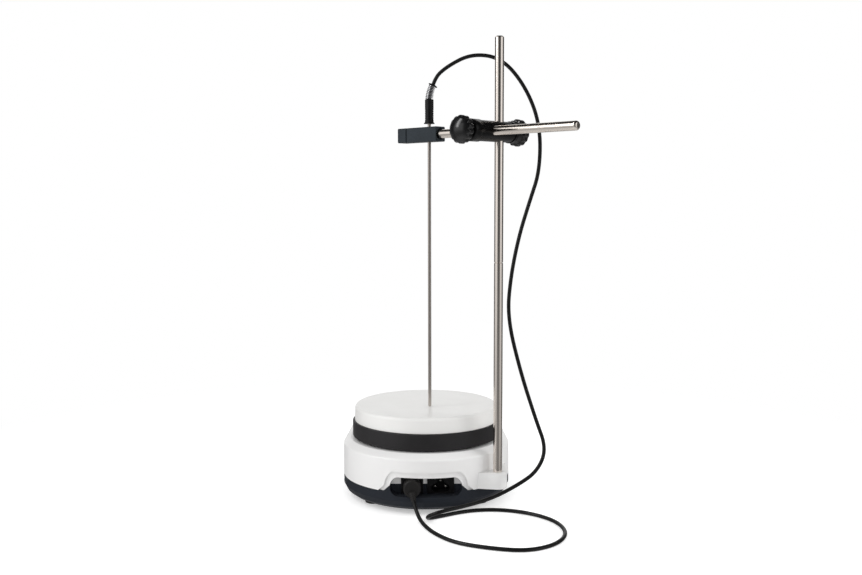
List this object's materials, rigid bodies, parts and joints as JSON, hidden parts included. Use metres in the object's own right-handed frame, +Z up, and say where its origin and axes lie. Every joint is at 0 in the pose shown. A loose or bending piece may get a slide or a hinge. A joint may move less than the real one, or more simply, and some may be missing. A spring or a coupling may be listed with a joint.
{
  "type": "hotplate magnetic stirrer",
  "caption": "Heats and stirs a flask on a round plate; a rod with a cross clamp holds a corded temperature probe over it.",
  "frame": {"origin": "centre of the hot plate's top face, on the stirring axis", "axes": "+Z up out of the plate; +Y from the rear with its sockets to the control panel; +X to the side with the support rod"},
  "size_m": [0.2015, 0.3327, 0.4177],
  "materials": {
    "white_shell": "smooth glossy white moulding",
    "white_ceramic": "white ceramic coating, satin to glossy",
    "black_collar": "fine matt black moulding",
    "charcoal": "matt blue-grey moulding",
    "rubber_black": "matt black rubber",
    "rod_steel": "drawn stainless steel, slightly warm",
    "probe_steel": "fine drawn stainless steel",
    "spring_steel": "bright wire",
    "black_casting": "glossy black coating",
    "black_knob": "glossy black plastic",
    "slate_block": "satin slate grey coating",
    "black_moulding": "matt black plastic",
    "zinc_screw": "zinc plated steel",
    "brass_insert": "turned brass",
    "pin_nickel": "nickel plated",
    "heater_alloy": "cast aluminium",
    "fibre_board": "pressed ceramic fibre",
    "shield_steel": "plain steel sheet",
    "motor_steel": "grey painted steel",
    "magnet_nickel": "nickel plated magnet",
    "carrier_alloy": "milled aluminium",
    "circuit_board": "green solder mask",
    "panel_grey": "satin grey foil",
    "display_dark": "dark display window",
    "cord_black": "black cord sheath"
  },
  "bodies": {
    "base": {"base_tray": "charcoal", "rubber_feet": "rubber_black", "upper_housing": "white_shell", "housing_screws": "zinc_screw", "plate_collar": "black_collar", "hot_plate": "white_ceramic", "heater_element": "heater_alloy", "insulation_disc": "fibre_board", "heat_shield": "shield_steel", "plate_posts": "shield_steel", "stir_motor": "motor_steel", "motor_bracket": "shield_steel", "sensor_socket": "black_moulding", "mains_inlet": "black_moulding", "mains_pins": "pin_nickel", "control_panel": "panel_grey", "display_window": "display_dark", "knob_encoders": "zinc_screw", "control_board": "circuit_board", "power_board": "circuit_board", "switch_body": "black_moulding", "rod_insert": "brass_insert", "lower_rod": "rod_steel", "sensor_plug": "black_moulding", "plug_boot": "black_moulding", "sensor_cord_lower": "cord_black"},
    "rotor": {"motor_shaft": "probe_steel", "magnet_carrier": "carrier_alloy", "drive_magnets": "magnet_nickel"},
    "heat_dial": {"heat_knob": "black_knob", "heat_knob_shaft": "probe_steel"},
    "stir_dial": {"stir_knob": "black_knob", "stir_knob_shaft": "probe_steel"},
    "rocker": {"power_switch": "black_knob"},
    "mast": {"upper_rod": "rod_steel"},
    "clamp": {"boss_head": "black_casting"},
    "rod_clamp": {"rod_clamp_knob": "black_knob", "rod_clamp_screw": "zinc_screw"},
    "cross_clamp": {"cross_clamp_knob": "black_knob", "cross_clamp_screw": "zinc_screw"},
    "cross_arm": {"cross_rod": "rod_steel", "probe_holder": "slate_block", "holder_cap": "slate_block"},
    "probe": {"probe_sheath": "probe_steel", "handle_flange": "black_moulding", "probe_handle": "black_moulding", "relief_spring": "spring_steel", "relief_collar": "black_moulding", "sensor_cord_upper": "cord_black"}
  },
  "joints": [
    {"name": "stir_spin", "type": "hinge", "parent": "base", "child": "rotor", "pos_m": [0, 0, -0.045], "axis": [0, 0, 1], "continuous": true},
    {"name": "heat_turn", "type": "hinge", "parent": "base", "child": "heat_dial", "pos_m": [0.042, 0.1325, -0.04225], "axis": [0, 0.3495, 0.9369], "continuous": true},
    {"name": "stir_turn", "type": "hinge", "parent": "base", "child": "stir_dial", "pos_m": [-0.042, 0.1325, -0.04225], "axis": [0, 0.3495, 0.9369], "continuous": true},
    {"name": "power_rock", "type": "hinge", "parent": "base", "child": "rocker", "pos_m": [0, 0.14421, -0.04662], "axis": [0, 0.9369, -0.3495], "range_deg": [-16, 0]},
    {"name": "mast_swivel", "type": "hinge", "parent": "base", "child": "mast", "pos_m": [0.0643, -0.057, 0.1372], "axis": [0, 0, 1], "range_deg": [-45, 45]},
    {"name": "boss_slide", "type": "slide", "parent": "mast", "child": "clamp", "axis": [0, 0, 1], "range_m": [0, 0.06]},
    {"name": "rod_clamp_turn", "type": "hinge", "parent": "clamp", "child": "rod_clamp", "pos_m": [0.0643, -0.057, 0.251], "axis": [-0.7071, -0.7071, 0], "range_deg": [0, 360]},
    {"name": "cross_clamp_turn", "type": "hinge", "parent": "clamp", "child": "cross_clamp", "pos_m": [0.0643, -0.057, 0.251], "axis": [-0.7071, -0.7071, 0], "range_deg": [0, 360]},
    {"name": "cross_rod_slide", "type": "slide", "parent": "clamp", "child": "cross_arm", "axis": [0.7071, -0.7071, 0], "range_m": [-0.02, 0.04]},
    {"name": "probe_slide", "type": "slide", "parent": "cross_arm", "child": "probe", "axis": [0, 0, 1], "range_m": [0, 0.05]}
  ]
}
